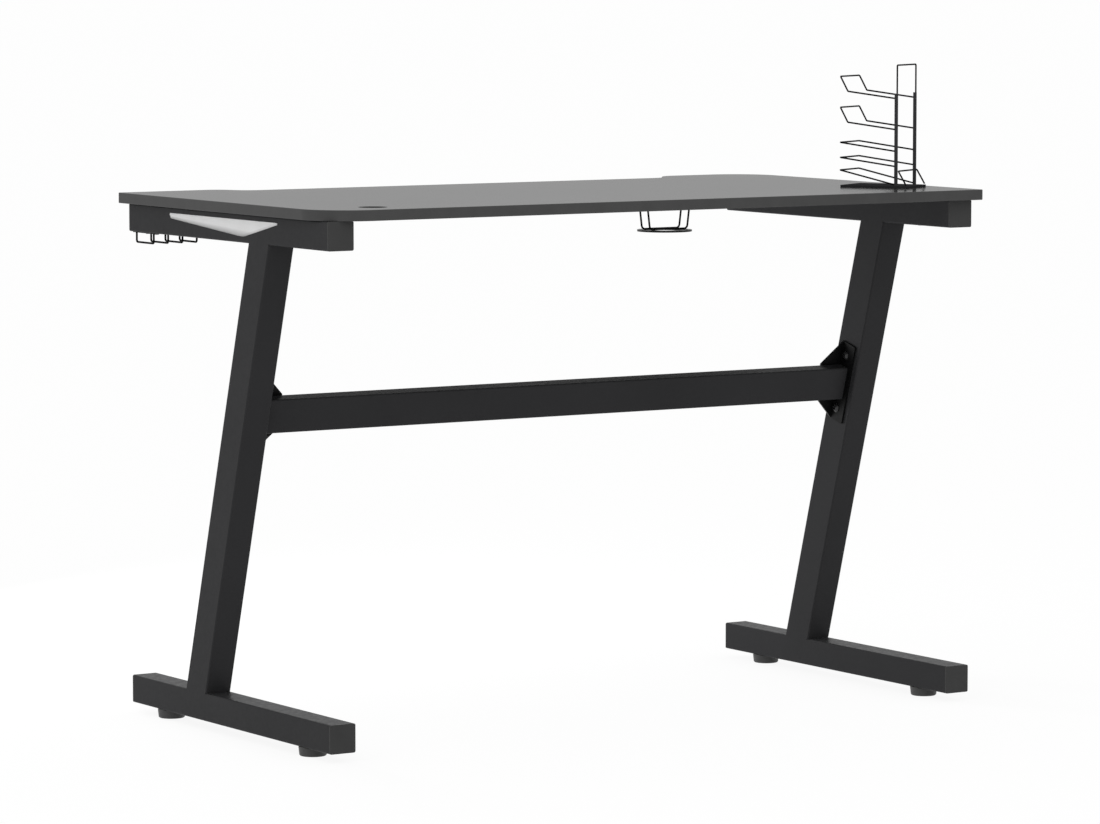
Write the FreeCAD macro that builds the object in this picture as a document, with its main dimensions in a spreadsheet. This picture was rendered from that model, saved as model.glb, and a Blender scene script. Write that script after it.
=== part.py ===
import FreeCAD, Part
import math
import os
import Sketcher

# Gaming desk with two Z-shaped tube frames, a crossbar, lit wing windows and wire accessories.
# Frame: +Z up, +X to the right of a user who sits at the -Y side, origin on the floor under the
# middle of the whole object. Lengths are millimetres.

Vector = FreeCAD.Vector
Rotation = FreeCAD.Rotation
doc = FreeCAD.newDocument("gaming_desk")
sheet = doc.addObject("Spreadsheet::Sheet", "Sizes")
finished = []


class Size:
    """A dimension: its number, and the sheet expression that gives it."""

    def __init__(self, value, text):
        self.value = float(value)
        self.text = text

    def __add__(self, other):
        other = as_size(other)
        return Size(self.value + other.value, "(%s + %s)" % (self.text, other.text))

    def __sub__(self, other):
        other = as_size(other)
        return Size(self.value - other.value, "(%s - %s)" % (self.text, other.text))

    def __mul__(self, other):
        other = as_size(other)
        return Size(self.value * other.value, "(%s * %s)" % (self.text, other.text))

    def __truediv__(self, other):
        other = as_size(other)
        return Size(self.value / other.value, "(%s / %s)" % (self.text, other.text))

    def __neg__(self):
        return Size(-self.value, "(0 - %s)" % self.text)


def as_size(item):
    if isinstance(item, Size):
        return item
    return Size(item, "(%r)" % float(item))


def root(size):
    return Size(math.sqrt(size.value), "sqrt(%s)" % size.text)


ZERO = as_size(0)


# Tabletop
top_length = 1100  # tabletop, side to side
top_depth = 600  # tabletop, front to rear
top_thickness = 15  # tabletop board
desk_height = 750  # floor to tabletop surface
wide_corner = 70  # radius of the rear right and front left corners
tight_corner = 4  # radius of the other two corners
edge_round = 1  # rounding of the board's edges
recess_depth = 47  # user's recess in the front edge
recess_side = 175  # side edge to the middle of a recess step
recess_step = 68  # length of each curved step along the edge
cable_hole = 40  # diameter of the cable hole
cable_hole_side = 107  # cable hole centre to the right side edge
cable_hole_rear = 62  # cable hole centre to the rear edge

# Frames
frame_inset = 10  # board past the outer face of each frame
tube_side = 40  # side of the foot and apron tubes, width of the legs
tube_wall = 1.5  # wall of all tubes
tube_corner = 2.5  # outer corner radius of the tubes
rail_inset = 16  # board past each end of a foot or apron, caps included
leg_depth = 58.8  # leg, front to rear on a level cut
leg_lean = 188  # how far the top of a leg stands behind its bottom
cap_plate = 2  # end cap plate
cap_plug = 10  # end cap plug inside the tube
cap_gap = 0.1  # gap between a plug and its tube

# Levelling feet
pad_height = 13  # foot pad, which is also the ground clearance
pad_diameter = 40  # foot pad at its top
pad_taper = 1.2  # foot pad, how much its radius narrows to the floor
pad_floor = 4  # pad thickness under the stud
pad_from_end = 81  # pad centre to the end of the foot
stud_diameter = 8  # levelling stud
stud_rise = 28  # stud above the underside of the foot
stud_gap = 0.08  # running gap round the stud
foot_nut_width = 13  # weld nut inside the foot, across its flats
foot_nut_height = 8  # weld nut inside the foot

# Crossbar and its brackets
bar_height = 50  # crossbar, along the lean of the legs
bar_depth = 20  # crossbar, across that lean
bar_corner = 2.5  # outer corner radius of the crossbar
bar_level = 452  # floor to the middle of the crossbar
plate_thickness = 3  # bracket plate and wing
plate_length = 122  # bracket plate along the leg
plate_rear = 18.5  # bracket plate behind the middle line of the leg
plate_corner = 3  # radius of the plate's two free corners
wing_reach = 38  # bracket wing along the bar, from the leg
wing_nose = 1  # bracket wing past the bar at its blunt end
bolt_spacing = 84  # between the two bolts of a bracket
bolt_diameter = 8  # bracket bolt
bolt_gap = 0.2  # clearance round a bolt
bolt_head = 13  # bracket bolt head
bolt_head_height = 4  # bracket bolt head
bolt_crown = 7.2  # flat crown of a bracket bolt head, across
bolt_rim = 1.2  # straight rim of a bracket bolt head
bolt_socket = 5  # hexagon socket of a bracket bolt, across its flats
bolt_socket_depth = 2  # hexagon socket of a bracket bolt
leg_nut_diameter = 14  # insert nut inside the leg
leg_nut_length = 7  # insert nut inside the leg

# Tabletop fixings
fixing_from_end = 64  # outer fixings from the ends of the apron
fixing_diameter = 6  # tabletop bolt
fixing_head = 11  # tabletop bolt head, inside the apron
fixing_head_height = 4  # tabletop bolt head
fixing_socket = 4  # hexagon socket of a tabletop bolt, across its flats
fixing_socket_depth = 2  # hexagon socket of a tabletop bolt
fixing_depth = 10  # tabletop bolt inside the board
insert_diameter = 9  # threaded insert in the board
insert_bottom = 1  # room between a bolt and the end of its insert hole
access_hole = 14  # tool hole in the underside of the apron

# Light windows
window_drop = 8.3  # board's underside to the top edge of a window
window_height = 23.5  # window at its lowest point
window_nose = 7.5  # height of the window's front end
window_front = 163  # front end of the window, ahead of the middle
window_rear = 158  # sharp rear tip of the window, behind the middle
window_slant = 5  # lean of the window's front end
window_belly = 60  # radius of the window's lowest point
window_low = 50  # lowest point of the window, behind the middle
window_corner = 1.5  # radius of the window's other corners
window_gap = 0.2  # gap between a window and the tube
flange_margin = 3  # diffuser flange behind the tube wall, past the window
flange_thickness = 2  # diffuser flange
strip_length = 250  # lamp strip
strip_height = 10  # lamp strip board
strip_thickness = 1.2  # lamp strip board
lamp_side = 5  # one lamp on the strip
lamp_thickness = 1.6  # one lamp on the strip
bush_flange = 11  # flange of the lead bush
bush_body = 8  # lead bush in the tube wall
bush_bore = 4  # way for the lead
bush_lip = 1.5  # lead bush flange
bush_from_end = 94  # lead bush from the rear end of the apron

# Cup holder at the front edge
cup_from_side = 120  # cup holder centre to the left side edge
cup_ring = 96  # middle diameter of the rim ring
cup_ring_wire = 4  # rim ring wire
cup_edge_gap = 2.5  # rim ring to the front edge
cup_wire = 3  # wire of the two bails
cup_bail_gap = 22  # between the two bails
cup_bail_low = 69  # bail width at the bottom
cup_bail_bend = 6  # bail bend radius
cup_depth = 71  # board's underside to the top of the floor ring
cup_floor_ring = 85  # floor ring, outside
cup_floor_hole = 55  # floor ring, inside
cup_floor_plate = 2.5  # floor ring thickness
tab_width = 34  # cup holder's fixing tab
tab_thickness = 2  # cup holder's fixing tab
tab_depth = 44  # cup holder's tab under the board
tab_screw_spacing = 20  # between the tab's screws
screw_diameter = 4  # small screws
screw_length = 9  # small screws, past the sheet that they hold
screw_head = 8  # small screw heads
screw_head_height = 2.2  # small screw heads
slot_length = 4.4  # cross recess of a small screw
slot_width = 1  # cross recess of a small screw
slot_depth = 1.2  # cross recess of a small screw
screw_tip = 0.6  # blunt end of a small screw, across
chamfer = 1  # broken edges of studs and screw heads

# Hooks under the right apron
hook_pitch = 23.2  # between the hook loops
hook_first = 10  # first loop inside the outer face of the apron
hook_width = 51.4  # loop, front to rear, between wire middles
hook_drop = 15.4  # apron underside to the middle of the loop's lowest wire
hook_wire = 2.9  # loop wire
hook_bend = 3  # loop bend radius
hook_plate = 1.5  # plate that carries the loops
hook_margin = 4  # plate past the outer loop wires

# Controller stand on the tabletop
stand_from_side = 74.7  # stand's middle to the left side edge
stand_from_rear = 144.5  # stand's middle to the rear edge
stand_turn = 30  # stand turned towards the user, degrees
base_width = 74  # base plate
base_length = 107  # base plate
base_thickness = 3  # base plate
base_corner = 4  # base plate corners
post_depth = 5  # the two flat posts, front to rear
post_thickness = 2.4  # the two flat posts
post_corner = 0.4  # the posts' upright edges
post_spacing = 68  # between the posts
post_rear = 18.4  # middle of the posts to the rear end of the base
post_top = 138  # tabletop to the top of the posts
stand_wire = 2.4  # wire of the loops
stand_bend = 2  # bend radius of the wire
handle_level = 179.2  # tabletop to the middle of the top loop's bar
seat_rise = 1.3  # base plate to the middle of the wire ends above it
brace_level = 25  # tabletop to the middle of the brace's bar
brace_reach = 12.4  # brace feet behind its bar
upper_arm_level = 131  # tabletop to the upper arm at the posts
lower_arm_level = 85.8  # tabletop to the lower arm at the posts
arm_reach = 77.1  # posts to the bend of an arm
arm_rise = 9.2  # rise of an arm to its bend
arm_tip_reach = 12  # turned-up tip, forwards
arm_tip_rise = 21.7  # turned-up tip, upwards
upper_shelf_level = 54.1  # tabletop to the upper shelf at the posts
middle_shelf_level = 32  # tabletop to the middle shelf at the posts
shelf_reach = 89.1  # posts to the tip of a shelf
shelf_rise = 11.3  # rise of a shelf to its tip
low_shelf_level = 5.2  # tabletop to the lowest shelf at the posts
low_shelf_tip = 24.9  # tabletop to the tip of the lowest shelf
weld_gap = 0.1  # room left for a weld

# Each size above becomes a cell of the sheet under its own name, and carries that name into expressions
plain_sizes = {name: number for name, number in globals().items() if isinstance(number, (int, float))}
for row, (name, number) in enumerate(plain_sizes.items(), 1):
    sheet.set("A%d" % row, name)
    sheet.set("B%d" % row, str(number))
    sheet.setAlias("B%d" % row, name)
    globals()[name] = Size(number, "Sizes." + name)
doc.recompute()

TOLERANCE = 1e-6
# A cutter through a sheet starts one sheet before it and ends one sheet past it.
THROUGH = 3
LAMP_COUNT = 8
HOOK_COUNT = 4

# Levels, lengths and planes that the pieces share
frame_width = top_length - frame_inset * 2
rail_length = top_depth - rail_inset * 2
recess_length = top_length - recess_side * 2
top_underside = desk_height - top_thickness
apron_underside = top_underside - tube_side
foot_top = pad_height + tube_side
window_level = top_underside - window_drop
cup_floor_level = top_underside - cup_depth
fixing_reach = rail_length / 2 - fixing_from_end
bush_place = rail_length / 2 - bush_from_end
cup_side = top_length / 2 - cup_from_side
stand_x = top_length / 2 - stand_from_side
stand_y = top_depth / 2 - stand_from_rear
leg_rise = apron_underside - foot_top
leg_slope = root(leg_rise * leg_rise + leg_lean * leg_lean)
lean_cosine = leg_rise / leg_slope
lean_sine = leg_lean / leg_slope
rail_x = frame_width / 2 - tube_side / 2
leg_inner_x = frame_width / 2 - tube_side
cup_reach = cup_edge_gap + cup_ring + cup_ring_wire
middle_y = cup_reach / 2
front_edge = middle_y - top_depth / 2
bar_y = middle_y - leg_lean / 2 + leg_lean * (bar_level - foot_top) / leg_rise


def place(item, x, y, z, rotation=None):
    """Sets a piece's turn, and binds its position to the sheet."""
    item.Placement = FreeCAD.Placement(Vector(0, 0, 0), rotation or Rotation())
    for axis, size in zip("xyz", (x, y, z)):
        item.setExpression(".Placement.Base." + axis, as_size(size).text)
    return item


def finish(item, name):
    """Names a piece, which becomes one node."""
    item.Label = name
    finished.append(item)
    return item


def box(low, high):
    piece = doc.addObject("Part::Box", "box")
    for name, near, far in zip(("Length", "Width", "Height"), low, high):
        piece.setExpression(name, (as_size(far) - as_size(near)).text)
    return place(piece, *low)


def cylinder(diameter, height, x, y, z, rotation=None):
    piece = doc.addObject("Part::Cylinder", "cylinder")
    piece.setExpression("Radius", (diameter / 2).text)
    piece.setExpression("Height", as_size(height).text)
    return place(piece, x, y, z, rotation)


def hexagon(across, height, x, y, z, rotation=None):
    """A six-sided bar, measured across its flats."""
    piece = doc.addObject("Part::Prism", "hexagon")
    piece.Polygon = 6
    piece.setExpression("Circumradius", (across / root(as_size(3))).text)
    piece.setExpression("Height", as_size(height).text)
    return place(piece, x, y, z, rotation)


def cut(base, tools):
    """Takes the tools out of the base."""
    joined = tools[0]
    if len(tools) > 1:
        joined = doc.addObject("Part::MultiFuse", "tools")
        joined.Shapes = tools
    piece = doc.addObject("Part::Cut", "cut")
    piece.Base = base
    piece.Tool = joined
    return piece


def group(pieces):
    """Keeps alike pieces as separate solids of one node."""
    piece = doc.addObject("Part::Compound", "group")
    piece.Links = pieces
    return piece


def new_sketch(body, plane, name, offset=None):
    """A sketch on one of the body's own planes, shifted along the plane's normal."""
    sketch = body.newObject("Sketcher::SketchObject", name)
    support = [item for item in body.Origin.OriginFeatures if item.Role == plane]
    sketch.AttachmentSupport = [(support[0], "")]
    sketch.MapMode = "FlatFace"
    if offset is not None:
        sketch.setExpression(".AttachmentOffset.Base.z", offset.text)
    return sketch


def fix(sketch, kind, where, size):
    """One dimension of a sketch, bound to the sheet."""
    index = sketch.addConstraint(Sketcher.Constraint(kind, *where, size.value))
    sketch.setExpression("Constraints[%d]" % index, size.text)


def arc_between(start, end, radius):
    """The short arc to the end point: a positive radius turns left, a negative one right."""
    chord = end - start
    half = chord.Length / 2
    left = Vector(-chord.y, chord.x, 0).normalize()
    away = math.sqrt(max(radius * radius - half * half, 0))
    centre = start + chord * 0.5 + left * (away if radius > 0 else -away)
    first, last = (start, end) if radius > 0 else (end, start)
    begin = math.atan2(first.y - centre.y, first.x - centre.x)
    stop = math.atan2(last.y - centre.y, last.x - centre.x)
    circle = Part.Circle(centre, Vector(0, 0, 1), abs(radius))
    return Part.ArcOfCircle(circle, begin, stop)


def trace(sketch, corners, closed=True):
    """Draws an outline. A corner is (x, y) or (x, y, radius of the arc that leads to it)."""
    corners = [[as_size(item) for item in corner] for corner in corners]
    points = [Vector(corner[0].value, corner[1].value, 0) for corner in corners]
    first_index = sketch.GeometryCount
    count = len(corners) if closed else len(corners) - 1
    ends = []
    for index in range(count):
        following = (index + 1) % len(corners)
        arrival = corners[following]
        if len(arrival) == 3:
            radius = arrival[2].value
            curve = arc_between(points[index], points[following], radius)
            ends.append((1, 2) if radius > 0 else (2, 1))
        else:
            curve = Part.LineSegment(points[index], points[following])
            ends.append((1, 2))
        sketch.addGeometry(curve, False)
    for index in range(count if closed else count - 1):
        following = (index + 1) % count
        joint = (first_index + index, ends[index][1], first_index + following, ends[following][0])
        sketch.addConstraint(Sketcher.Constraint("Coincident", *joint))
    for index in range(count):
        here = first_index + index
        fix(sketch, "DistanceX", (-1, 1, here, ends[index][0]), corners[index][0])
        fix(sketch, "DistanceY", (-1, 1, here, ends[index][0]), corners[index][1])
        arrival = corners[(index + 1) % len(corners)]
        if len(arrival) == 3:
            radius = arrival[2] if arrival[2].value > 0 else -arrival[2]
            fix(sketch, "Radius", (here,), radius)
    if not closed:
        last = first_index + count - 1
        fix(sketch, "DistanceX", (-1, 1, last, ends[-1][1]), corners[-1][0])
        fix(sketch, "DistanceY", (-1, 1, last, ends[-1][1]), corners[-1][1])


def ring(sketch, x, y, diameter):
    """Draws a circle."""
    circle = Part.Circle(Vector(x.value, y.value, 0), Vector(0, 0, 1), diameter.value / 2)
    index = sketch.addGeometry(circle, False)
    fix(sketch, "DistanceX", (-1, 1, index, 3), x)
    fix(sketch, "DistanceY", (-1, 1, index, 3), y)
    fix(sketch, "Radius", (index,), diameter / 2)


def rounded_rectangle(width, depth, corner):
    """Corners of a centred rectangle with round corners."""
    x = width / 2
    y = depth / 2
    return [
        (-x + corner, -y, corner), (x - corner, -y), (x, -y + corner, corner), (x, y - corner),
        (x - corner, y, corner), (-x + corner, y), (-x, y - corner, corner), (-x, -y + corner),
    ]


def pad(body, sketch, length, backwards=False, both_ways=False):
    feature = body.newObject("PartDesign::Pad", "pad")
    feature.Profile = sketch
    feature.setExpression("Length", as_size(length).text)
    feature.Reversed = backwards
    feature.Midplane = both_ways
    sketch.Visibility = False
    return feature


def new_body(name):
    return doc.addObject("PartDesign::Body", name)


def edges_along_x(feature, lowest, highest):
    """Names of a solid's straight edges along X between two levels."""
    names = []
    for number, edge in enumerate(feature.Shape.Edges, 1):
        straight = abs(edge.BoundBox.XLength - edge.Length) < TOLERANCE
        if straight and lowest < edge.CenterOfMass.z < highest:
            names.append("Edge%d" % number)
    return names


def round_edges(body, feature, names, radius):
    rounding = body.newObject("PartDesign::Fillet", "rounding")
    rounding.Base = (feature, names)
    rounding.setExpression("Radius", radius.text)
    return rounding


def hollow_section(sketch, width, depth, corner):
    """The outer and inner outline of a tube."""
    inner_corner = corner - tube_wall
    trace(sketch, rounded_rectangle(width, depth, corner))
    trace(sketch, rounded_rectangle(width - tube_wall * 2, depth - tube_wall * 2, inner_corner))


def tube(width, depth, corner, length):
    """A straight tube along its own Z axis, from zero up."""
    body = new_body("tube")
    sketch = new_sketch(body, "XY_Plane", "section")
    hollow_section(sketch, width, depth, corner)
    pad(body, sketch, length)
    return body


def turned(profile):
    """A turned piece about its own Z axis, from corners of (radius, height)."""
    body = new_body("turned")
    sketch = new_sketch(body, "XZ_Plane", "half_section")
    trace(sketch, profile)
    feature = body.newObject("PartDesign::Revolution", "turn")
    feature.Profile = sketch
    feature.ReferenceAxis = (sketch, ["V_Axis"])
    feature.Angle = 360
    return body


def bow(end_half, bar_half, length, bend, diameter):
    """A round wire bent to a U: two legs along its own Y axis from zero, joined by a bar at the length."""
    flare = end_half - bar_half
    leg = root(length * length + flare * flare)
    setback = bend * root((leg - flare) / (leg + flare))
    bend_x = bar_half + flare * setback / leg
    bend_y = length - length * setback / leg
    body = new_body("bow")
    path = new_sketch(body, "XY_Plane", "path")
    trace(path, [
        (end_half, 0), (bend_x, bend_y), (bar_half - setback, length, bend), (setback - bar_half, length),
        (-bend_x, bend_y, bend), (-end_half, 0),
    ], closed=False)
    section = new_sketch(body, "XZ_Plane", "section")
    ring(section, end_half, ZERO, diameter)
    feature = body.newObject("PartDesign::AdditivePipe", "sweep")
    feature.Profile = section
    feature.Spine = path
    return body


def bent_wire(points, bend, diameter):
    """A round wire along a path that leaves one plane, with straight runs joined by tangent arcs."""
    points = [Vector(*[as_size(item).value for item in point]) for point in points]
    edges = []
    start = points[0]
    for before, corner, after in zip(points, points[1:], points[2:]):
        come = (before - corner).normalize()
        leave = (after - corner).normalize()
        half_turn = math.acos(max(-1.0, min(1.0, come.dot(leave)))) / 2
        setback = bend.value / math.tan(half_turn)
        inward = (come + leave).normalize()
        arc_start = corner + come * setback
        arc_end = corner + leave * setback
        arc_middle = corner + inward * (bend.value / math.sin(half_turn) - bend.value)
        edges.append(Part.makeLine(start, arc_start))
        edges.append(Part.Arc(arc_start, arc_middle, arc_end).toShape())
        start = arc_end
    edges.append(Part.makeLine(start, points[-1]))
    path = Part.Wire(edges)
    section = Part.Wire([Part.makeCircle(diameter.value / 2, points[0], points[1] - points[0])])
    piece = doc.addObject("Part::Feature", "wire")
    piece.Shape = path.makePipeShell([section], True, False)
    return piece


ALONG_X = Rotation(Vector(0, 1, 0), 90)
AGAINST_X = Rotation(Vector(0, 1, 0), -90)
ALONG_Y = Rotation(Vector(1, 0, 0), -90)
AGAINST_Y = Rotation(Vector(1, 0, 0), 90)
UPRIGHT = AGAINST_Y
HANGING = Rotation(Vector(0, 1, 0), Vector(0, 0, -1), Vector(-1, 0, 0), "XYZ")
LEANING = Rotation(Vector(1, 0, 0), -math.degrees(math.atan2(leg_lean.value, leg_rise.value)))


def outwards(side):
    """The turn that points a piece's Z axis away from the middle of the desk."""
    return ALONG_X if side > 0 else AGAINST_X


SIDES = {"right": 1, "left": -1}
fixing_places = [-fixing_reach, ZERO, fixing_reach]
tab_screw_places = [tab_screw_spacing / -2, tab_screw_spacing / 2]
cup_y = front_edge - cup_edge_gap - cup_ring_wire / 2 - cup_ring / 2


# Tabletop board with the user's recess, the cable hole and blind holes for its fixings
def make_tabletop():
    x = top_length / 2
    y = top_depth / 2
    step_start = recess_length / 2 + recess_step / 2
    step_middle = recess_length / 2
    step_end = recess_length / 2 - recess_step / 2
    curve = (recess_step * recess_step + recess_depth * recess_depth) / (recess_depth * 4)
    outline = [
        (-x + wide_corner, -y, wide_corner), (-step_start, -y),
        (-step_middle, -y + recess_depth / 2, curve), (-step_end, -y + recess_depth, -curve),
        (step_end, -y + recess_depth), (step_middle, -y + recess_depth / 2, -curve),
        (step_start, -y, curve), (x - tight_corner, -y), (x, -y + tight_corner, tight_corner),
        (x, y - wide_corner), (x - wide_corner, y, wide_corner), (-x + tight_corner, y),
        (-x, y - tight_corner, tight_corner), (-x, -y + wide_corner),
    ]
    body = new_body("board")
    sketch = new_sketch(body, "XY_Plane", "outline")
    trace(sketch, outline)
    ring(sketch, x - cable_hole_side, y - cable_hole_rear, cable_hole)
    board = pad(body, sketch, top_thickness)
    doc.recompute()
    level_edges = []
    for number, edge in enumerate(board.Shape.Edges, 1):
        if edge.BoundBox.ZLength < TOLERANCE:
            level_edges.append("Edge%d" % number)
    round_edges(body, board, level_edges, edge_round)
    place(body, 0, middle_y, top_underside)
    holes = []
    insert_hole = insert_diameter + weld_gap
    for side in SIDES.values():
        for spot in fixing_places:
            depth = fixing_depth + insert_bottom
            holes.append(cylinder(insert_hole, depth, rail_x * side, middle_y + spot, top_underside))
    for spot in tab_screw_places:
        pilot = screw_diameter + weld_gap
        depth = screw_length + insert_bottom
        holes.append(cylinder(pilot, depth, spot - cup_side, front_edge + tab_depth / 2, top_underside))
    finish(cut(body, holes), "tabletop")


# Wing-shaped window: its outline, grown by a margin all round, as a solid along X
def wing_solid(margin, thickness):
    top = window_level + margin
    nose = window_level - window_nose - margin
    low = window_level - window_height - margin
    tip_stretch = (window_rear - window_low) * 2 / window_height
    body = new_body("wing")
    sketch = new_sketch(body, "YZ_Plane", "outline")
    trace(sketch, [
        (-window_front - margin, top), (-window_front + window_slant - margin, nose), (window_low, low),
        (window_rear + margin * tip_stretch, top),
    ])
    solid = pad(body, sketch, thickness)
    doc.recompute()
    belly_limit = low.value + window_height.value / 3
    belly = round_edges(body, solid, edges_along_x(solid, 0, belly_limit), window_belly)
    doc.recompute()
    round_edges(body, belly, edges_along_x(belly, belly_limit, desk_height.value), window_corner)
    return body


# Apron tube under the tabletop, with its window, bolt holes and the lamp lead's hole
def make_apron(name, side):
    body = tube(tube_side, tube_side, tube_corner, rail_length - cap_plate * 2)
    tube_start = middle_y - rail_length / 2 + cap_plate
    place(body, rail_x * side, tube_start, apron_underside + tube_side / 2, ALONG_Y)
    tools = []
    hole = fixing_diameter + bolt_gap * 2
    for spot in fixing_places:
        tools.append(cylinder(hole, tube_side / 2, rail_x * side, middle_y + spot,
                              top_underside - tube_side / 2))
        tools.append(cylinder(access_hole, tube_side / 2, rail_x * side, middle_y + spot,
                              apron_underside - tube_wall))
    outer_face = frame_width / 2
    window = wing_solid(window_gap, tube_wall * THROUGH)
    shift = outer_face - tube_wall * 2 if side > 0 else -outer_face - tube_wall
    place(window, shift, middle_y, 0)
    tools.append(window)
    tools.append(cylinder(bush_body + weld_gap * 2, tube_side / 2, rail_x * side, middle_y + bush_place,
                          apron_underside - tube_wall))
    if side > 0:
        for x, y in hook_screw_places():
            tools.append(cylinder(screw_diameter + bolt_gap, tube_side / 2, x, y,
                                  apron_underside - tube_wall))
    finish(cut(body, tools), name + "_apron")


# Foot tube on the floor side, with a hole for each levelling stud
def make_foot(name, side):
    body = tube(tube_side, tube_side, tube_corner, rail_length - cap_plate * 2)
    tube_start = middle_y - rail_length / 2 + cap_plate
    place(body, rail_x * side, tube_start, pad_height + tube_side / 2, ALONG_Y)
    holes = []
    for spot in pad_places().values():
        holes.append(cylinder(stud_diameter + bolt_gap * 2, tube_side / 2, rail_x * side,
                              middle_y + spot, pad_height - tube_wall))
    finish(cut(body, holes), name + "_foot")


# Slanted leg between foot and apron, cut level at both ends
def make_leg(name, side):
    body = new_body("leg")
    sketch = new_sketch(body, "XY_Plane", "section")
    hollow_section(sketch, tube_side, leg_depth, tube_corner)
    feature = pad(body, sketch, leg_rise)
    feature.UseCustomVector = True
    feature.AlongSketchNormal = True
    feature.Direction = Vector(0, lean_sine.value, lean_cosine.value)
    feature.setExpression("Direction.y", lean_sine.text)
    feature.setExpression("Direction.z", lean_cosine.text)
    place(body, rail_x * side, middle_y - leg_lean / 2, foot_top)
    holes = []
    for y, z in bracket_bolt_places():
        holes.append(cylinder(bolt_diameter + bolt_gap * 2, tube_side / 2,
                              (leg_inner_x - tube_wall) * side, y, z, outwards(side)))
    finish(cut(body, holes), name + "_leg")


def bracket_bolt_places():
    """Middle of each bracket bolt, along the leg above and below the bar."""
    half = bolt_spacing / 2
    return [(bar_y + lean_sine * half * way, bar_level + lean_cosine * half * way) for way in (1, -1)]


# End cap: a plate as large as the tube with a plug that fits inside it
def end_cap(x, y, z, rotation):
    body = new_body("cap")
    plate = new_sketch(body, "XY_Plane", "plate")
    trace(plate, rounded_rectangle(tube_side, tube_side, tube_corner))
    pad(body, plate, cap_plate)
    plug = new_sketch(body, "XY_Plane", "plug")
    inside = tube_side - tube_wall * 2 - cap_gap * 2
    trace(plug, rounded_rectangle(inside, inside, tube_corner - tube_wall))
    pad(body, plug, cap_plug, backwards=True)
    return place(body, x, y, z, rotation)


def make_caps(name, level):
    caps = []
    reach = rail_length / 2 - cap_plate
    for side in SIDES.values():
        caps.append(end_cap(rail_x * side, middle_y + reach, level, ALONG_Y))
        caps.append(end_cap(rail_x * side, middle_y - reach, level, AGAINST_Y))
    finish(group(caps), name)


# Levelling feet: a pad on a stud that turns in a nut inside the foot
def pad_places():
    reach = rail_length / 2 - pad_from_end
    return {"rear": reach, "front": -reach}


def make_levelling_feet():
    nuts = []
    for side_name, side in SIDES.items():
        for end_name, spot in pad_places().items():
            spare = stud_diameter / 2 + stud_gap
            radius = pad_diameter / 2
            narrow = radius - pad_taper
            cup = turned([
                (0, 0), (narrow - pad_taper, 0), (narrow, pad_taper), (radius, pad_height - pad_taper),
                (radius - pad_taper / 2, pad_height), (spare, pad_height), (spare, pad_floor), (0, pad_floor),
            ])
            place(cup, rail_x * side, middle_y + spot, 0)
            finish(cup, "%s_%s_pad" % (end_name, side_name))
            rod = stud_diameter / 2
            top = pad_height + stud_rise
            stud = turned([
                (0, pad_floor), (rod, pad_floor), (rod, top - chamfer), (rod - chamfer, top), (0, top),
            ])
            place(stud, rail_x * side, middle_y + spot, 0)
            finish(stud, "%s_%s_stud" % (end_name, side_name))
            seat = pad_height + tube_wall
            blank = hexagon(foot_nut_width, foot_nut_height, rail_x * side, middle_y + spot, seat)
            bore = cylinder(spare * 2, foot_nut_height, rail_x * side, middle_y + spot, seat)
            nuts.append(cut(blank, [bore]))
    finish(group(nuts), "foot_nuts")


# Crossbar between the two bracket plates, leaning with the legs
def make_crossbar():
    span = (leg_inner_x - plate_thickness) * 2
    body = tube(bar_height, bar_depth, bar_corner, span)
    place(body, span / -2, bar_y, bar_level, LEANING * ALONG_X)
    finish(body, "crossbar")


# Bracket: an angle with one limb on the leg, and a wing along the front face of the bar
def make_bracket(name, side):
    body = new_body("bracket")
    plate = new_sketch(body, "XY_Plane", "plate")
    end = plate_length / 2
    fold = (bar_depth / -2 - plate_thickness) * side
    free = plate_rear * side
    corner = plate_corner * side
    trace(plate, [
        (-end, fold), (end, fold), (end, free - corner), (end - plate_corner, free, corner),
        (plate_corner - end, free), (-end, free - corner, corner),
    ])
    pad(body, plate, plate_thickness)
    wing = new_sketch(body, "XZ_Plane", "wing", (bar_depth + plate_thickness) / 2 * side)
    nose = bar_height / 2 + wing_nose
    trace(wing, [(-end, plate_thickness), (end, plate_thickness), (nose, wing_reach), (-nose, wing_reach)])
    pad(body, wing, plate_thickness, both_ways=True)
    facing = AGAINST_X if side > 0 else Rotation(Vector(0, 0, 1), 180) * AGAINST_X
    place(body, leg_inner_x * side, bar_y, bar_level, LEANING * facing)
    holes = []
    for y, z in bracket_bolt_places():
        holes.append(cylinder(bolt_diameter + bolt_gap * 2, plate_thickness * THROUGH,
                              (leg_inner_x - plate_thickness * 2) * side, y, z, outwards(side)))
    finish(cut(body, holes), name + "_bar_bracket")


# Button-head bolts through the brackets, and the insert nuts that hold them inside the legs
def make_bracket_bolts():
    bolts = []
    nuts = []
    grip = plate_thickness + tube_wall + leg_nut_length
    rod = bolt_diameter / 2
    rim = bolt_head / 2
    for side in SIDES.values():
        for y, z in bracket_bolt_places():
            bolt = turned([
                (0, -bolt_head_height), (bolt_crown / 2, -bolt_head_height), (rim, -bolt_rim, bolt_head),
                (rim, 0), (rod, 0), (rod, grip), (0, grip),
            ])
            seat = leg_inner_x - plate_thickness
            place(bolt, seat * side, y, z, outwards(side))
            socket = hexagon(bolt_socket, bolt_socket_depth, (seat - bolt_head_height) * side, y, z,
                             outwards(side))
            bolts.append(cut(bolt, [socket]))
            inner = rod + weld_gap
            outer = leg_nut_diameter / 2
            nut = turned([(inner, 0), (outer, 0), (outer, leg_nut_length), (inner, leg_nut_length)])
            nuts.append(place(nut, (leg_inner_x + tube_wall) * side, y, z, outwards(side)))
    finish(group(bolts), "bracket_bolts")
    finish(group(nuts), "bracket_nuts")


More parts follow.
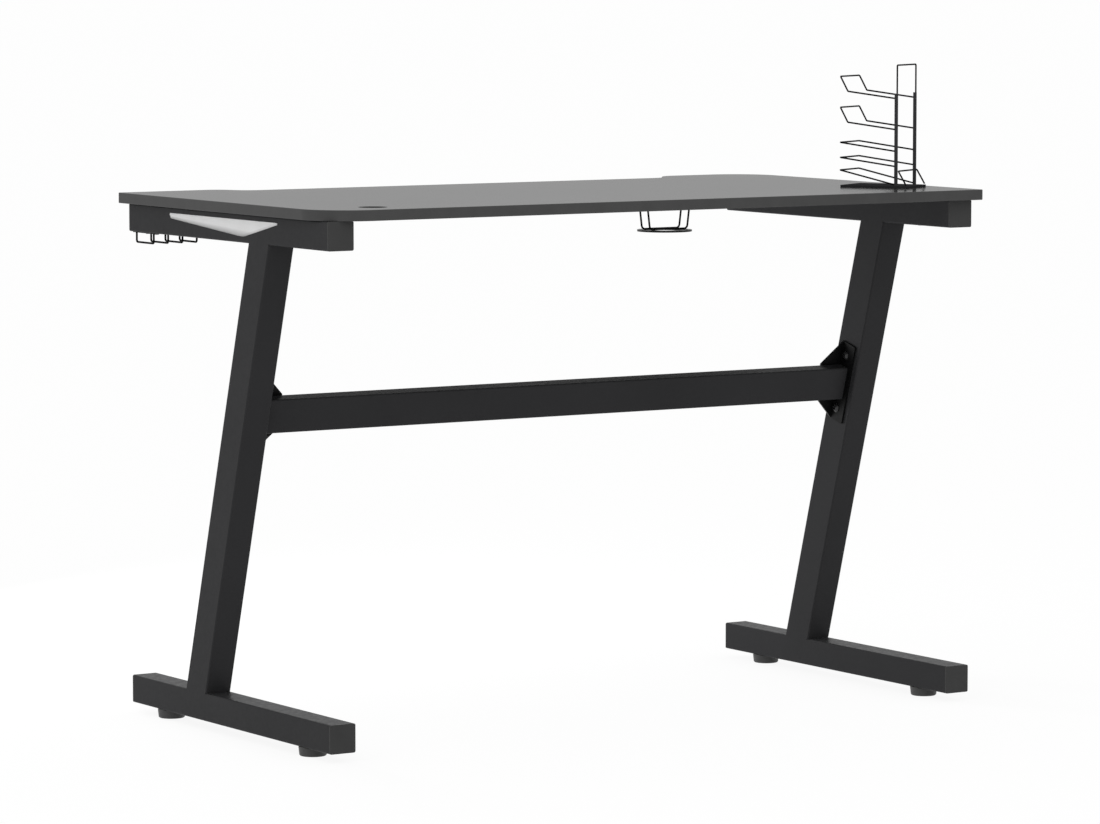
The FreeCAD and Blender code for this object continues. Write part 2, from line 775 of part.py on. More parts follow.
# Bolts from inside the aprons into threaded inserts in the board
def make_top_fixings():
    bolts = []
    inserts = []
    rod = fixing_diameter / 2
    rim = fixing_head / 2
    reach = tube_wall + fixing_depth
    for side in SIDES.values():
        for spot in fixing_places:
            bolt = turned([
                (0, -fixing_head_height), (rim - chamfer, -fixing_head_height),
                (rim, -fixing_head_height + chamfer), (rim, 0), (rod, 0), (rod, reach), (0, reach),
            ])
            seat = top_underside - tube_wall
            place(bolt, rail_x * side, middle_y + spot, seat)
            socket = hexagon(fixing_socket, fixing_socket_depth, rail_x * side, middle_y + spot,
                             seat - fixing_head_height)
            bolts.append(cut(bolt, [socket]))
            inner = rod + weld_gap
            outer = insert_diameter / 2
            insert = turned([(inner, 0), (outer, 0), (outer, fixing_depth), (inner, fixing_depth)])
            inserts.append(place(insert, rail_x * side, middle_y + spot, top_underside))
    finish(group(bolts), "top_bolts")
    finish(group(inserts), "top_inserts")


# Light: a diffuser in the window with a flange behind the wall, and a lamp strip across the tube
def make_light(name, side):
    outer_face = frame_width / 2
    front = wing_solid(ZERO, tube_wall)
    place(front, outer_face - tube_wall if side > 0 else -outer_face, middle_y, 0)
    flange = wing_solid(flange_margin, flange_thickness)
    depth = tube_wall + flange_thickness
    place(flange, outer_face - depth if side > 0 else -outer_face + tube_wall, middle_y, 0)
    diffuser = doc.addObject("Part::Fuse", "diffuser")
    diffuser.Base = front
    diffuser.Tool = flange
    finish(diffuser, name + "_diffuser")
    wall = leg_inner_x + tube_wall
    start = middle_y - window_front + lamp_side
    level = window_level - window_height / 2
    pieces = [level_box(wall, strip_thickness, side, start, strip_length, level, strip_height)]
    pitch = strip_length / LAMP_COUNT
    for number in range(LAMP_COUNT):
        spot = start + pitch * number + pitch / 2 - lamp_side / 2
        face = wall + strip_thickness
        pieces.append(level_box(face, lamp_thickness, side, spot, lamp_side, level, lamp_side))
    finish(group(pieces), name + "_lamp_strip")


def level_box(face, thickness, side, y, length, level, height):
    """A box on an upright face of one side of the desk, growing outwards from that face."""
    near = face if side > 0 else -face - thickness
    return box((near, y, level - height / 2), (near + thickness, y + length, level + height / 2))


def make_lead_bushes():
    bushes = []
    bore = bush_bore / 2
    body = bush_body / 2
    rim = bush_flange / 2
    for side in SIDES.values():
        bush = turned([
            (bore, -bush_lip), (rim - bush_lip / 2, -bush_lip), (rim, bush_lip / -2), (rim, 0), (body, 0),
            (body, tube_wall + bush_lip), (bore, tube_wall + bush_lip),
        ])
        bushes.append(place(bush, rail_x * side, middle_y + bush_place, apron_underside))
    finish(group(bushes), "lead_bushes")


def screw(x, y, z, grip):
    """A pan-head screw driven upwards, its head under z."""
    rod = screw_diameter / 2
    rim = screw_head / 2
    tip = grip + screw_length
    body = turned([
        (0, -screw_head_height), (rim - chamfer, -screw_head_height), (rim, -screw_head_height + chamfer),
        (rim, 0), (rod, 0), (rod, tip - rod), (screw_tip / 2, tip), (0, tip),
    ])
    place(body, x, y, z)
    bottom = z - screw_head_height
    slots = []
    for reach_x, reach_y in ((slot_length / 2, slot_width / 2), (slot_width / 2, slot_length / 2)):
        slots.append(box((x - reach_x, y - reach_y, bottom), (x + reach_x, y + reach_y, bottom + slot_depth)))
    return cut(body, slots)


# Cup holder: a rim ring on a tab under the board, two bails and a floor ring
def make_cup_holder():
    rim_level = top_underside - tab_thickness - cup_ring_wire / 2
    rim = doc.addObject("Part::Torus", "rim")
    rim.setExpression("Radius1", (cup_ring / 2).text)
    rim.setExpression("Radius2", (cup_ring_wire / 2).text)
    finish(place(rim, -cup_side, cup_y, rim_level), "cup_rim")
    inner = cup_ring / 2 - cup_ring_wire / 2 - cup_wire / 2 - weld_gap
    offset = cup_bail_gap / 2
    top_half = root(inner * inner - offset * offset)
    low_half = cup_bail_low / 2
    low = cup_floor_level + cup_wire / 2
    top = rim_level + cup_ring_wire / 2
    bails = []
    for way in (-1, 1):
        y = offset * way
        bail = bow(top_half, low_half, top - low, cup_bail_bend, cup_wire)
        bails.append(place(bail, -cup_side, cup_y + y, top, ALONG_Y))
    finish(group(bails), "cup_bails")
    outside = cup_floor_ring / 2
    inside = cup_floor_hole / 2
    floor = turned([
        (inside, -cup_floor_plate), (outside, -cup_floor_plate), (outside, 0), (inside, 0),
    ])
    finish(place(floor, -cup_side, cup_y, cup_floor_level), "cup_floor")
    tab_front = front_edge - cup_edge_gap - cup_ring_wire
    tab = box(
        (tab_width / -2 - cup_side, tab_front, top_underside - tab_thickness),
        (tab_width / 2 - cup_side, front_edge + tab_depth, top_underside),
    )
    holes = []
    screws = []
    for spot in tab_screw_places:
        x = spot - cup_side
        y = front_edge + tab_depth / 2
        holes.append(cylinder(screw_diameter + bolt_gap, tab_thickness * THROUGH, x, y,
                              top_underside - tab_thickness * 2))
        screws.append(screw(x, y, top_underside - tab_thickness, tab_thickness))
    finish(cut(tab, holes), "cup_tab")
    finish(group(screws), "cup_screws")


# Hooks: four wire loops side by side under a plate at the front of the right apron
def hook_y():
    return middle_y - rail_length / 2 + hook_margin + hook_width / 2


def hook_screw_places():
    x = frame_width / 2 - hook_first - hook_pitch / 2
    return [(x, hook_y() + hook_width / 4 * way) for way in (1, -1)]


def make_hooks():
    top = apron_underside - hook_plate
    first = frame_width / 2 - hook_first
    last = first - hook_pitch * (HOOK_COUNT - 1)
    half = hook_width / 2
    plate = box(
        (last - hook_margin, hook_y() - half - hook_margin, top),
        (first + hook_margin, hook_y() + half + hook_margin, apron_underside),
    )
    loops = []
    for number in range(HOOK_COUNT):
        x = first - hook_pitch * number
        loop = bow(half, half, hook_drop - hook_plate, hook_bend, hook_wire)
        loops.append(place(loop, x, hook_y(), top, HANGING))
    holes = []
    screws = []
    for x, y in hook_screw_places():
        holes.append(cylinder(screw_diameter + bolt_gap, hook_plate * THROUGH, x, y, top - hook_plate))
        screws.append(screw(x, y, top, hook_plate))
    finish(cut(plate, holes), "hook_plate")
    finish(group(loops), "hook_loops")
    finish(group(screws), "hook_screws")


# Controller stand: every piece is drawn about the middle of its base, then turned towards the user
def on_stand(piece, name, x=ZERO, y=ZERO, z=ZERO, tilt=Rotation()):
    """Places a piece of the stand by its own x, y and z on the base."""
    turn = Rotation(Vector(0, 0, 1), stand_turn.value)
    cosine = Size(math.cos(math.radians(stand_turn.value)), "cos(%s)" % stand_turn.text)
    sine = Size(math.sin(math.radians(stand_turn.value)), "sin(%s)" % stand_turn.text)
    world_x = x * cosine - y * sine - stand_x
    world_y = x * sine + y * cosine + stand_y + middle_y
    place(piece, world_x, world_y, z + desk_height, turn * tilt)
    finish(piece, name)


def flat_bar(width, depth, corner, height):
    """An upright bar or a plate of rounded rectangular outline, about its own middle."""
    body = new_body("bar")
    sketch = new_sketch(body, "XY_Plane", "outline")
    trace(sketch, rounded_rectangle(width, depth, corner))
    pad(body, sketch, height)
    return body


def rising_bow(name, start_y, start_z, reach, rise):
    """A wire bow of the stand that starts behind and rises towards the front."""
    slant = root(reach * reach + rise * rise)
    tilt = Rotation(Vector(1, 0, 0), 180 - math.degrees(math.atan2(rise.value, reach.value)))
    half = post_spacing / 2
    on_stand(bow(half, half, slant, stand_bend, stand_wire), name, ZERO, start_y, start_z, tilt)


def make_stand():
    half = post_spacing / 2
    post_y = base_length / 2 - post_rear
    post_rear_face = post_y + post_depth / 2
    wire = stand_wire / 2
    on_stand(flat_bar(base_width, base_length, base_corner, base_thickness), "stand_base")
    for name, way in (("inner", 1), ("outer", -1)):
        post = flat_bar(post_thickness, post_depth, post_corner, post_top - base_thickness)
        on_stand(post, "stand_%s_post" % name, half * way, post_y, base_thickness)
    loop = bow(half, half, handle_level - post_top, stand_bend, stand_wire)
    on_stand(loop, "stand_top_loop", ZERO, post_rear_face - wire, post_top, UPRIGHT)
    seat = base_thickness + seat_rise
    brace_y = post_rear_face + wire + weld_gap
    rising_bow("stand_brace", brace_y + brace_reach, seat, brace_reach, brace_level - seat)
    front = post_y - post_depth / 2 - weld_gap * 3
    for name, level in zip(("upper", "lower"), (upper_arm_level, lower_arm_level)):
        bend_y = post_y - arm_reach
        bend_z = level + arm_rise
        tip_y = bend_y - arm_tip_reach
        tip_z = bend_z + arm_tip_rise
        arm = [
            (half, front, level), (half, bend_y, bend_z), (half, tip_y, tip_z),
            (-half, tip_y, tip_z), (-half, bend_y, bend_z), (-half, front, level),
        ]
        on_stand(bent_wire(arm, stand_bend, stand_wire), "stand_%s_arm" % name)
    reach = front - post_y + shelf_reach
    rising_bow("stand_upper_shelf", front, upper_shelf_level, reach, shelf_rise)
    rising_bow("stand_middle_shelf", front, middle_shelf_level, reach, shelf_rise)
    rising_bow("stand_lowest_shelf", front, low_shelf_level, reach, low_shelf_tip - low_shelf_level)


make_tabletop()
for side_name, side_sign in SIDES.items():
    make_apron(side_name, side_sign)
    make_leg(side_name, side_sign)
    make_foot(side_name, side_sign)
    make_bracket(side_name, side_sign)
    make_light(side_name, side_sign)
make_caps("apron_end_caps", apron_underside + tube_side / 2)
make_caps("foot_end_caps", pad_height + tube_side / 2)
make_crossbar()
make_bracket_bolts()
make_top_fixings()
make_lead_bushes()
make_levelling_feet()
make_cup_holder()
make_hooks()
make_stand()
doc.recompute()

# Every object has to be sound before anything is written
for item in doc.Objects:
    if "Invalid" in item.State or "Error" in item.State:
        raise RuntimeError("failed: %s %s" % (item.Label, item.State))
for item in finished:
    if item.Shape.isNull() or not item.Shape.isValid() or not item.Shape.Solids:
        raise RuntimeError("no sound solid: " + item.Label)

os.makedirs("parts", exist_ok=True)
for item in finished:
    item.Shape.exportStep("parts/%s.step" % item.Label)
print("nodes:", len(finished))
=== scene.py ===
import math

import bmesh
import bpy
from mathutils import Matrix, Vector


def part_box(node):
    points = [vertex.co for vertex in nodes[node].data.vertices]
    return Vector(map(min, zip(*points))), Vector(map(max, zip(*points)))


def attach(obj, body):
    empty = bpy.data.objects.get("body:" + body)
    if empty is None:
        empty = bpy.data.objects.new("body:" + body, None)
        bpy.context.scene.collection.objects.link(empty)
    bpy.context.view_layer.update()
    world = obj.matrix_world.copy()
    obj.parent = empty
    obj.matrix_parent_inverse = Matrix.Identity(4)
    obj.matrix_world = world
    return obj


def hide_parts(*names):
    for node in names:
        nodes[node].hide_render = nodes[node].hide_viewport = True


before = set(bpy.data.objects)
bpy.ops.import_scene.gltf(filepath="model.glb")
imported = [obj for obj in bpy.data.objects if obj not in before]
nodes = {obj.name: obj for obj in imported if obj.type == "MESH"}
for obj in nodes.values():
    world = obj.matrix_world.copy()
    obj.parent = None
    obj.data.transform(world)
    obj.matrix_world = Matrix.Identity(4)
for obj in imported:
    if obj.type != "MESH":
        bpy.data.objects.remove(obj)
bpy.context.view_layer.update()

scene = bpy.context.scene

# Names that repeat
SIDES = ("right", "left")
ENDS = ("front", "rear")

# Camera: place, aim and lens
CAMERA_PLACE = Vector((3.9625, 6.2470, 1.1168))
CAMERA_AZIMUTH = math.radians(147.435)
CAMERA_PITCH = math.radians(5.338)
CAMERA_LENS = 166.82
SENSOR_WIDTH = 36.0

# Noise: the range that most of its values fill
NOISE_LOW = 0.3
NOISE_HIGH = 0.7

# Colour mixer: its factor and two colours, and its result, by number
MIX_INPUTS = (0, 6, 7)
MIX_OUTPUT = 2

# Colours
WHITE = (1.0, 1.0, 1.0, 1.0)
BLACK = (0.0, 0.0, 0.0, 1.0)
FLOOR_COLOUR = (0.92, 0.92, 0.92, 1.0)

# Paint: share of blue added to its greys, and share by which its tone varies
PAINT_COOL = 0.05
PAINT_CLOUD = 0.05

# Plastic: share by which its tone varies
PLASTIC_CLOUD = 0.06

# Board: upright share of the normal where the edge band ends and where the face is reached
BAND_END = 0.75
FACE_START = 0.95

# Opal windows: tone and reach of the painted shade along the lower border. The belly's reach is a share of
# the window's height
BELLY_SHADE_TONE = 0.42
BELLY_SHADE_SHARE = 0.36
NOSE_SHADE_TONE = 0.70
NOSE_SHADE_BORDER = 0.004

# Metals: tone of the tarnish, and how much closer the turned marks lie along Z
TARNISH = 0.82
MARK_STRETCH = (1.0, 1.0, 40.0)

# Lamp strip: size and colours of its printed tracks
TRACK_STRETCH = (1.0, 32.0, 180.0)
TRACK_COLOURS = {
    "Color1": (0.72, 0.72, 0.69, 1.0),
    "Color2": (0.66, 0.67, 0.64, 1.0),
    "Mortar": (0.55, 0.50, 0.36, 1.0),
}

# Thread of the levelling studs. A stop of the profile is (share of the pitch, share of the depth)
THREAD_PITCH = 0.00125
THREAD_DEPTH = 0.00077
THREAD_PROFILE = ((0.0, 0.0), (0.25, 0.0), (0.56, 1.0), (0.69, 1.0))
THREAD_COLUMNS = 24
THREAD_SHARP = math.radians(30.0)

# Outer corner radius of the tubes, which the welds fill
TUBE_CORNER = 0.0025
WELD_STEPS = 4
SAME_PLACE = 0.00001

# Light levels
BACKGROUND_WHITE = 1.0
FLOOR_WHITE_SHARE = 0.90
FLOOR_REACH = 150.0
WORLD_FILL = 0.95

# Soft lamps
DESK_MIDDLE = (0.0, 0.0, 0.5)
LAMPS = {
    "key": {"place": (1.4, 2.6, 3.2), "aim": DESK_MIDDLE, "size": 2.4, "power": 14.0},
    "side": {"place": (3.2, 0.4, 1.8), "aim": DESK_MIDDLE, "size": 2.0, "power": 4.0},
    "front": {"place": (0.4, -1.4, 0.5), "aim": (-0.5, 0.1, 0.5), "size": 0.5, "power": 17.0},
}


class Material:
    """A node material under construction, with one principled shader."""

    def __init__(self, name):
        self.material = bpy.data.materials.new(name)
        self.material.use_nodes = True
        self.nodes = self.material.node_tree.nodes
        self.links = self.material.node_tree.links
        self.shader = self.nodes["Principled BSDF"]
        coordinates = self.nodes.new("ShaderNodeTexCoord")
        self.place = coordinates.outputs["Object"]

    def join(self, value, socket):
        """Links a socket to another node's output, or sets its own value."""
        if isinstance(value, bpy.types.NodeSocket):
            self.links.new(value, socket)
        else:
            socket.default_value = value

    def fill(self, node, inputs):
        """Joins a node's inputs by name. An underscore stands for a space."""
        for name, value in inputs.items():
            self.join(value, node.inputs[name.replace("_", " ")])

    def set(self, **inputs):
        """Joins the shader's own sockets."""
        self.fill(self.shader, inputs)

    def node(self, kind, **inputs):
        made = self.nodes.new("ShaderNode" + kind)
        self.fill(made, inputs)
        return made

    def stretched(self, scale):
        """The piece's own coordinates, scaled by axis."""
        mapping = self.node("Mapping", Vector=self.place, Scale=scale)
        return mapping.outputs["Vector"]

    def noise(self, scale, detail=3.0, place=None):
        made = self.node("TexNoise", Vector=place or self.place, Scale=scale, Detail=detail, Roughness=0.55)
        return made.outputs["Fac"]

    def spread(self, value, low, high, start=NOISE_LOW, end=NOISE_HIGH):
        """Maps a value from one range to another."""
        made = self.node("MapRange", Value=value, From_Min=start, From_Max=end, To_Min=low, To_Max=high)
        return made.outputs["Result"]

    def shades(self, noise, dark, light):
        """Colours between two along a noise."""
        made = self.node("ValToRGB", Fac=noise)
        stops = ((NOISE_LOW, dark), (NOISE_HIGH, light))
        for element, (position, colour) in zip(made.color_ramp.elements, stops):
            element.position = position
            element.color = (*colour, 1.0)
        return made.outputs["Color"]

    def math(self, operation, *values):
        made = self.node("Math")
        made.operation = operation
        for socket, value in zip(made.inputs, values):
            self.join(value, socket)
        return made.outputs["Value"]

    def height_above(self, start, end):
        """Distance above a straight line through two points in Y and Z."""
        slope = math.atan2(end[1] - start[1], end[0] - start[0])
        foot = start[1] * math.cos(slope) - start[0] * math.sin(slope)
        lowered = (0.0, 0.0, -foot)
        turned = self.node("Mapping", Vector=self.place, Rotation=(-slope, 0.0, 0.0), Location=lowered)
        return self.node("SeparateXYZ", Vector=turned.outputs["Vector"]).outputs["Z"]

    def mix(self, factor, first, second):
        """Mixes two colours."""
        made = self.node("Mix")
        made.data_type = "RGBA"
        for index, value in zip(MIX_INPUTS, (factor, first, second)):
            self.join(value, made.inputs[index])
        return made.outputs[MIX_OUTPUT]

    def bump(self, height, distance):
        made = self.node("Bump", Height=height, Distance=distance, Strength=1.0)
        self.set(Normal=made.outputs["Normal"])


def grey(level, cool=0.0):
    """A grey with a share of blue added."""
    return (level, level, level * (1.0 + cool))


def dress(material, *names):
    """Gives CAD nodes their material."""
    for name in names:
        slots = nodes[name].data.materials
        slots.clear()
        slots.append(material)


# Powder coat: a fine orange peel over a faint cloudiness in tone and gloss
def powder_coat(name, level, roughness, gloss, peel_scale=900.0, peel_height=0.00002):
    made = Material(name)
    dark = grey(level * (1.0 - PAINT_CLOUD), PAINT_COOL)
    light = grey(level * (1.0 + PAINT_CLOUD), PAINT_COOL)
    made.set(
        Specular_IOR_Level=gloss,
        Base_Color=made.shades(made.noise(scale=9.0, detail=4.0), dark, light),
        Roughness=made.spread(made.noise(scale=160.0), low=roughness - 0.05, high=roughness + 0.06),
    )
    made.bump(made.noise(scale=peel_scale, detail=2.0), distance=peel_height)
    return made.material


# Laminated board: a fine pressed texture, and a lighter band along the edges
def laminate():
    made = Material("board")
    normal = made.node("NewGeometry").outputs["Normal"]
    upright = made.node("SeparateXYZ", Vector=normal).outputs["Z"]
    flat = made.spread(made.math("ABSOLUTE", upright), low=0.0, high=1.0, start=BAND_END, end=FACE_START)
    face = made.shades(made.noise(scale=6.0, detail=4.0), dark=grey(0.027), light=grey(0.033))
    band = made.shades(made.noise(scale=40.0), dark=grey(0.042), light=grey(0.048))
    soft = made.noise(scale=220.0)
    grain = made.noise(scale=1400.0, detail=2.0)
    made.set(
        Base_Color=made.mix(flat, band, face),
        Roughness=made.spread(soft, low=0.40, high=0.48),
        Specular_IOR_Level=0.0,
        Coat_Weight=0.43,
        Coat_Roughness=0.14,
        Coat_IOR=1.5,
    )
    made.bump(made.math("ADD", grain, made.math("MULTIPLY", soft, 0.5)), distance=0.000012)
    return made.material


# Moulded plastic: a spark-eroded grain with slow changes in tone and gloss
def moulded(name, level, roughness, gloss, grain_scale=1500.0):
    made = Material(name)
    cloud = made.noise(scale=30.0)
    dark = grey(level * (1.0 - PLASTIC_CLOUD))
    light = grey(level * (1.0 + PLASTIC_CLOUD))
    made.set(
        Specular_IOR_Level=gloss,
        Base_Color=made.shades(cloud, dark, light),
        Roughness=made.spread(cloud, low=roughness - 0.05, high=roughness + 0.05),
    )
    made.bump(made.noise(scale=grain_scale, detail=2.0), distance=0.00003)
    return made.material


# The two longest straight stretches of a window's lower outline, each as (start, end) in Y and Z
def lower_stretches(name):
    places = [vertex.co for vertex in nodes[name].data.vertices]
    face = max(abs(place.x) for place in places)
    hull = []
    for point in sorted({place.yz.to_tuple(6) for place in places if face - abs(place.x) < SAME_PLACE}):
        while len(hull) > 1 and not bends_up(hull[-2], hull[-1], point):
            hull.pop()
        hull.append(point)
    return sorted(zip(hull, hull[1:]), key=lambda ends: math.dist(*ends), reverse=True)[:2]


def bends_up(first, second, third):
    ahead = (second[0] - first[0]) * (third[1] - second[1])
    return ahead > (second[1] - first[1]) * (third[0] - second[0])


# Opal plastic of the light windows: light scatters in it, and its colour is darkened along its lower
# border, a painted shade
def opal():
    made = Material("diffuser")
    belly, nose = lower_stretches("right_diffuser")
    top = max(place[2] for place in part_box("right_diffuser"))
    level = made.node("SeparateXYZ", Vector=made.place).outputs["Z"]
    height = made.height_above(*belly)
    depth = made.math("SUBTRACT", top, level)
    share = made.math("DIVIDE", height, made.math("ADD", height, depth))
    # Painted shade: the colour darkens towards the lower border, along the belly and along the nose
    belly_painted_shade = made.spread(share, low=BELLY_SHADE_TONE, high=1.0, start=0.0, end=BELLY_SHADE_SHARE)
    nose_painted_shade = made.spread(made.height_above(*nose), low=NOSE_SHADE_TONE, high=1.0, start=0.0, end=NOSE_SHADE_BORDER)
    plain = made.shades(made.noise(scale=25.0), dark=grey(0.63), light=grey(0.67))
    made.set(
        Base_Color=made.mix(made.math("MULTIPLY", belly_painted_shade, nose_painted_shade), BLACK, plain),
        Roughness=made.spread(made.noise(scale=90.0), low=0.32, high=0.42),
        Specular_IOR_Level=0.45,
        Subsurface_Weight=0.35,
        Subsurface_Scale=0.004,
        Subsurface_Radius=(1.0, 0.95, 0.9),
    )
    made.bump(made.noise(scale=700.0, detail=2.0), distance=0.00002)
    return made.material


# Plated steel or brass: fine turned marks and slight tarnish
def plated(name, colour, roughness):
    made = Material(name)
    darker = tuple(part * TARNISH for part in colour)
    made.set(
        Metallic=1.0,
        Base_Color=made.shades(made.noise(scale=70.0, detail=4.0), dark=darker, light=colour),
        Roughness=made.spread(made.noise(scale=400.0), low=roughness - 0.06, high=roughness + 0.08),
    )
    marks = made.noise(scale=60.0, detail=2.0, place=made.stretched(MARK_STRETCH))
    made.bump(marks, distance=0.00002)
    return made.material


# Lamp strip: a white board with printed tracks
def strip():
    made = Material("lamp_strip")
    tracks = made.node("TexBrick", Vector=made.stretched(TRACK_STRETCH), **TRACK_COLOURS)
    made.set(
        Base_Color=tracks.outputs["Color"],
        Roughness=made.spread(made.noise(scale=120.0), low=0.35, high=0.5),
    )
    return made.material


frame_paint = powder_coat("frame_paint", level=0.0243, roughness=0.40, gloss=0.05)
# Bracket paint: the frame's paint, darkened far below it so that the brackets' wings render black, a
# painted shade
bracket_paint = powder_coat("bracket_paint", level=0.0035, roughness=0.40, gloss=0.13)
wire_paint = powder_coat(
    "wire_paint", level=0.003, roughness=0.40, gloss=0.02, peel_scale=1600.0, peel_height=0.000012,
)
plate_paint = powder_coat("plate_paint", level=0.027, roughness=0.60, gloss=0.0)
post_paint = powder_coat("post_paint", level=0.036, roughness=0.40, gloss=0.05)
fastener = powder_coat(
    "black_fastener", level=0.014, roughness=0.26, gloss=0.42, peel_scale=2000.0, peel_height=0.00001,
)
cap_plastic = moulded("cap_plastic", level=0.042, roughness=0.45, gloss=0.08)
pad_plastic = moulded("pad_plastic", level=0.034, roughness=0.52, gloss=0.45)
bush_rubber = moulded("bush_rubber", level=0.012, roughness=0.62, gloss=0.45, grain_scale=900.0)
zinc = plated("zinc", colour=(0.52, 0.52, 0.53), roughness=0.32)
brass = plated("brass", colour=(0.62, 0.46, 0.20), roughness=0.30)

dress(laminate(), "tabletop")
for side in SIDES:
    dress(frame_paint, side + "_apron", side + "_leg", side + "_foot")
dress(frame_paint, "crossbar")
# Brackets: the darkened paint gives their wings a painted shade
dress(bracket_paint, "right_bar_bracket", "left_bar_bracket", "cup_floor")
dress(cap_plastic, "apron_end_caps", "foot_end_caps")
dress(opal(), "right_diffuser", "left_diffuser")
dress(strip(), "right_lamp_strip", "left_lamp_strip")
dress(bush_rubber, "lead_bushes")
dress(fastener, "bracket_bolts", "cup_screws", "hook_screws")
dress(zinc, "foot_nuts", "bracket_nuts", "top_bolts")
dress(brass, "top_inserts")
dress(pad_plastic, *["%s_%s_pad" % (end, side) for end in ENDS for side in SIDES])
dress(wire_paint, "cup_rim", "cup_bails", "cup_tab", "hook_plate", "hook_loops")
dress(wire_paint, "stand_top_loop", "stand_brace", "stand_upper_arm", "stand_lower_arm")
dress(wire_paint, "stand_upper_shelf", "stand_middle_shelf", "stand_lowest_shelf")
dress(post_paint, "stand_inner_post", "stand_outer_post")
dress(plate_paint, "stand_base")


# A piece of the scene that rides on a body and takes a slot's finish
def add_piece(name, shape, material, body):
    mesh = bpy.data.meshes.new(name)
    shape.to_mesh(mesh)
    shape.free()
    mesh.materials.append(material)
    piece = bpy.data.objects.new(name, mesh)
    scene.collection.objects.link(piece)
    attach(piece, body)
    return piece


# Levelling stud: a thread whose depth runs out over one turn at each end
def make_stud(corner):
    low, high = (Vector(place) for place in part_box(corner + "_stud"))
    middle = (low + high) / 2.0
    crest = (high.x - low.x) / 2.0
    turns = math.ceil((high.z - low.z) / THREAD_PITCH) + 1
    shape = bmesh.new()
    rows = []
    for turn in range(-1, turns + 1):
        for share, depth in THREAD_PROFILE:
            row = []
            for column in range(THREAD_COLUMNS):
                round_share = column / THREAD_COLUMNS
                level = low.z + (turn + share + round_share) * THREAD_PITCH
                level = min(max(level, low.z), high.z)
                run_out = min(1.0, (level - low.z) / THREAD_PITCH, (high.z - level) / THREAD_PITCH)
                radius = crest - THREAD_DEPTH * (1.0 - depth * run_out)
                angle = math.tau * round_share
                place = (middle.x + radius * math.cos(angle), middle.y + radius * math.sin(angle), level)
                row.append(shape.verts.new(place))
            rows.append(row)
    period = len(THREAD_PROFILE)
    for index in range(len(rows) - period - 1):
        for column in range(THREAD_COLUMNS):
            wraps = column + 1 == THREAD_COLUMNS
            beside = index + period if wraps else index
            following = 0 if wraps else column + 1
            shape.faces.new((
                rows[index][column],
                rows[beside][following],
                rows[beside + 1][following],
                rows[index + 1][column],
            ))
    bmesh.ops.remove_doubles(shape, verts=shape.verts[:], dist=SAME_PLACE)
    loose = [vertex for vertex in shape.verts if not vertex.link_faces]
    bmesh.ops.delete(shape, geom=loose, context="VERTS")
    bmesh.ops.holes_fill(shape, edges=shape.edges[:], sides=0)
    bmesh.ops.recalc_face_normals(shape, faces=shape.faces[:])
    stud = add_piece(corner + "_threaded_stud", shape, zinc, corner + "_leveller")
    stud.data.shade_smooth()
    stud.data.set_sharp_from_angle(angle=THREAD_SHARP)
    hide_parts(corner + "_stud")


# Welds of one leg: each fills the groove along a tube's round corner, flush with the leg and the tube
def make_welds(side):
    leg = nodes[side + "_leg"].data
    low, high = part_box(side + "_leg")
    shape = bmesh.new()
    for level, into_tube in ((low[2], -1), (high[2], 1)):
        for face, inwards in ((low[0], 1), (high[0], -1)):
            run = [vertex.co.y for vertex in leg.vertices
                   if abs(vertex.co.z - level) < SAME_PLACE and abs(vertex.co.x - face) < SAME_PLACE]
            section = [(face, level)]
            for step in range(WELD_STEPS + 1):
                angle = math.pi / 2.0 * step / WELD_STEPS
                across = TUBE_CORNER * (1.0 - math.cos(angle))
                along = TUBE_CORNER * (1.0 - math.sin(angle))
                section.append((face + inwards * across, level + into_tube * along))
            ends = [[shape.verts.new((x, y, z)) for x, z in section] for y in (min(run), max(run))]
            for index in range(len(section)):
                following = (index + 1) % len(section)
                shape.faces.new((ends[0][index], ends[0][following], ends[1][following], ends[1][index]))
            for end in ends:
                shape.faces.new(end)
    bmesh.ops.recalc_face_normals(shape, faces=shape.faces[:])
    add_piece(side + "_leg_welds", shape, frame_paint, "desk")


for side in SIDES:
    make_welds(side)
    for end in ENDS:
        make_stud("%s_%s" % (end, side))


# Camera
def make_camera():
    data = bpy.data.cameras.new("camera")
    data.lens = CAMERA_LENS
    data.sensor_width = SENSOR_WIDTH
    data.clip_end = FLOOR_REACH * 2.0
    camera = bpy.data.objects.new("camera", data)
    scene.collection.objects.link(camera)
    level = math.cos(CAMERA_PITCH)
    ahead = Vector((
        -math.sin(CAMERA_AZIMUTH) * level,
        math.cos(CAMERA_AZIMUTH) * level,
        -math.sin(CAMERA_PITCH),
    ))
    camera.location = CAMERA_PLACE
    camera.rotation_mode = "QUATERNION"
    camera.rotation_quaternion = ahead.to_track_quat("-Z", "Y")
    scene.camera = camera


def white_rays(tree, share):
    """The share for rays from the camera and from mirrors or glass, and zero for the others."""
    path = tree.nodes.new("ShaderNodeLightPath")
    total = path.outputs["Is Camera Ray"]
    for name in ("Is Glossy Ray", "Is Transmission Ray"):
        larger = tree.nodes.new("ShaderNodeMath")
        larger.operation = "MAXIMUM"
        tree.links.new(total, larger.inputs[0])
        tree.links.new(path.outputs[name], larger.inputs[1])
        total = larger.outputs["Value"]
    scaled = tree.nodes.new("ShaderNodeMath")
    scaled.operation = "MULTIPLY"
    tree.links.new(total, scaled.inputs[0])
    scaled.inputs[1].default_value = share
    return scaled.outputs["Value"]


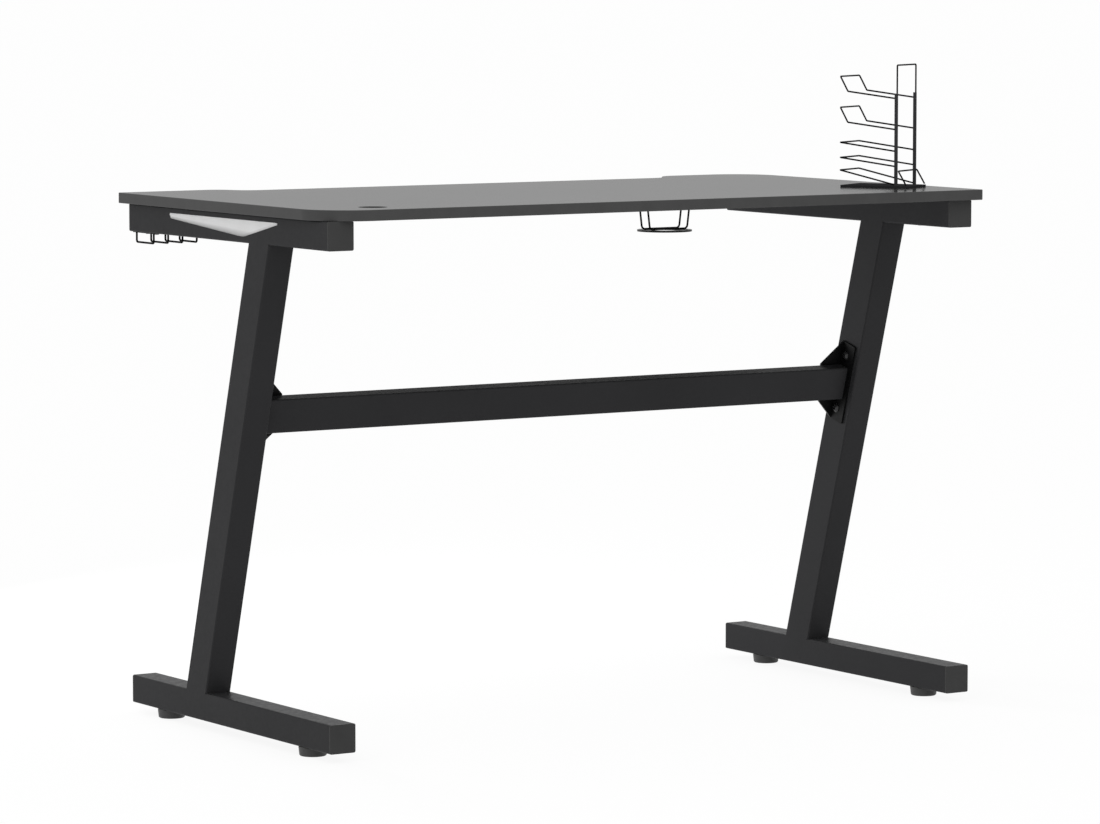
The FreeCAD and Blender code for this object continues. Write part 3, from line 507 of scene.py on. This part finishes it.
def white_light(tree, kind, strength):
    """A white shader of a kind that gives light."""
    made = tree.nodes.new("ShaderNode" + kind)
    made.inputs["Color"].default_value = WHITE
    made.inputs["Strength"].default_value = strength
    return made.outputs[kind]


def blend(tree, share, first, second, output):
    """Mixes two shaders into the tree's output."""
    mixer = tree.nodes.new("ShaderNodeMixShader")
    for value, socket in zip((share, first, second), mixer.inputs):
        tree.links.new(value, socket)
    tree.links.new(mixer.outputs["Shader"], output.inputs["Surface"])


# Floor: white to the camera and in reflections, with the object's shadow kept
def make_floor():
    mesh = bpy.data.meshes.new("floor")
    plan = bmesh.new()
    bmesh.ops.create_grid(plan, x_segments=1, y_segments=1, size=FLOOR_REACH)
    plan.to_mesh(mesh)
    plan.free()
    floor = bpy.data.objects.new("floor", mesh)
    scene.collection.objects.link(floor)
    material = bpy.data.materials.new("floor")
    material.use_nodes = True
    tree = material.node_tree
    tree.nodes.clear()
    output = tree.nodes.new("ShaderNodeOutputMaterial")
    diffuse = tree.nodes.new("ShaderNodeBsdfDiffuse")
    diffuse.inputs["Color"].default_value = FLOOR_COLOUR
    glow = white_light(tree, "Emission", BACKGROUND_WHITE)
    blend(tree, white_rays(tree, FLOOR_WHITE_SHARE), diffuse.outputs["BSDF"], glow, output)
    mesh.materials.append(material)


# World: an even fill, and white to the camera and in reflections
def make_world():
    world = bpy.data.worlds.new("studio")
    world.use_nodes = True
    scene.world = world
    tree = world.node_tree
    tree.nodes.clear()
    output = tree.nodes.new("ShaderNodeOutputWorld")
    fill = white_light(tree, "Background", WORLD_FILL)
    white = white_light(tree, "Background", BACKGROUND_WHITE)
    blend(tree, white_rays(tree, 1.0), fill, white, output)


def soft_lamp(name, place, aim, size, power):
    data = bpy.data.lights.new(name, "AREA")
    data.shape = "DISK"
    data.size = size
    data.energy = power
    lamp = bpy.data.objects.new(name, data)
    lamp.location = place
    lamp.rotation_mode = "QUATERNION"
    lamp.rotation_quaternion = (Vector(aim) - Vector(place)).to_track_quat("-Z", "Y")
    scene.collection.objects.link(lamp)
    lamp.visible_glossy = False


make_camera()
make_floor()
make_world()
for name, values in LAMPS.items():
    soft_lamp(name, **values)

scene.view_settings.view_transform = "Standard"
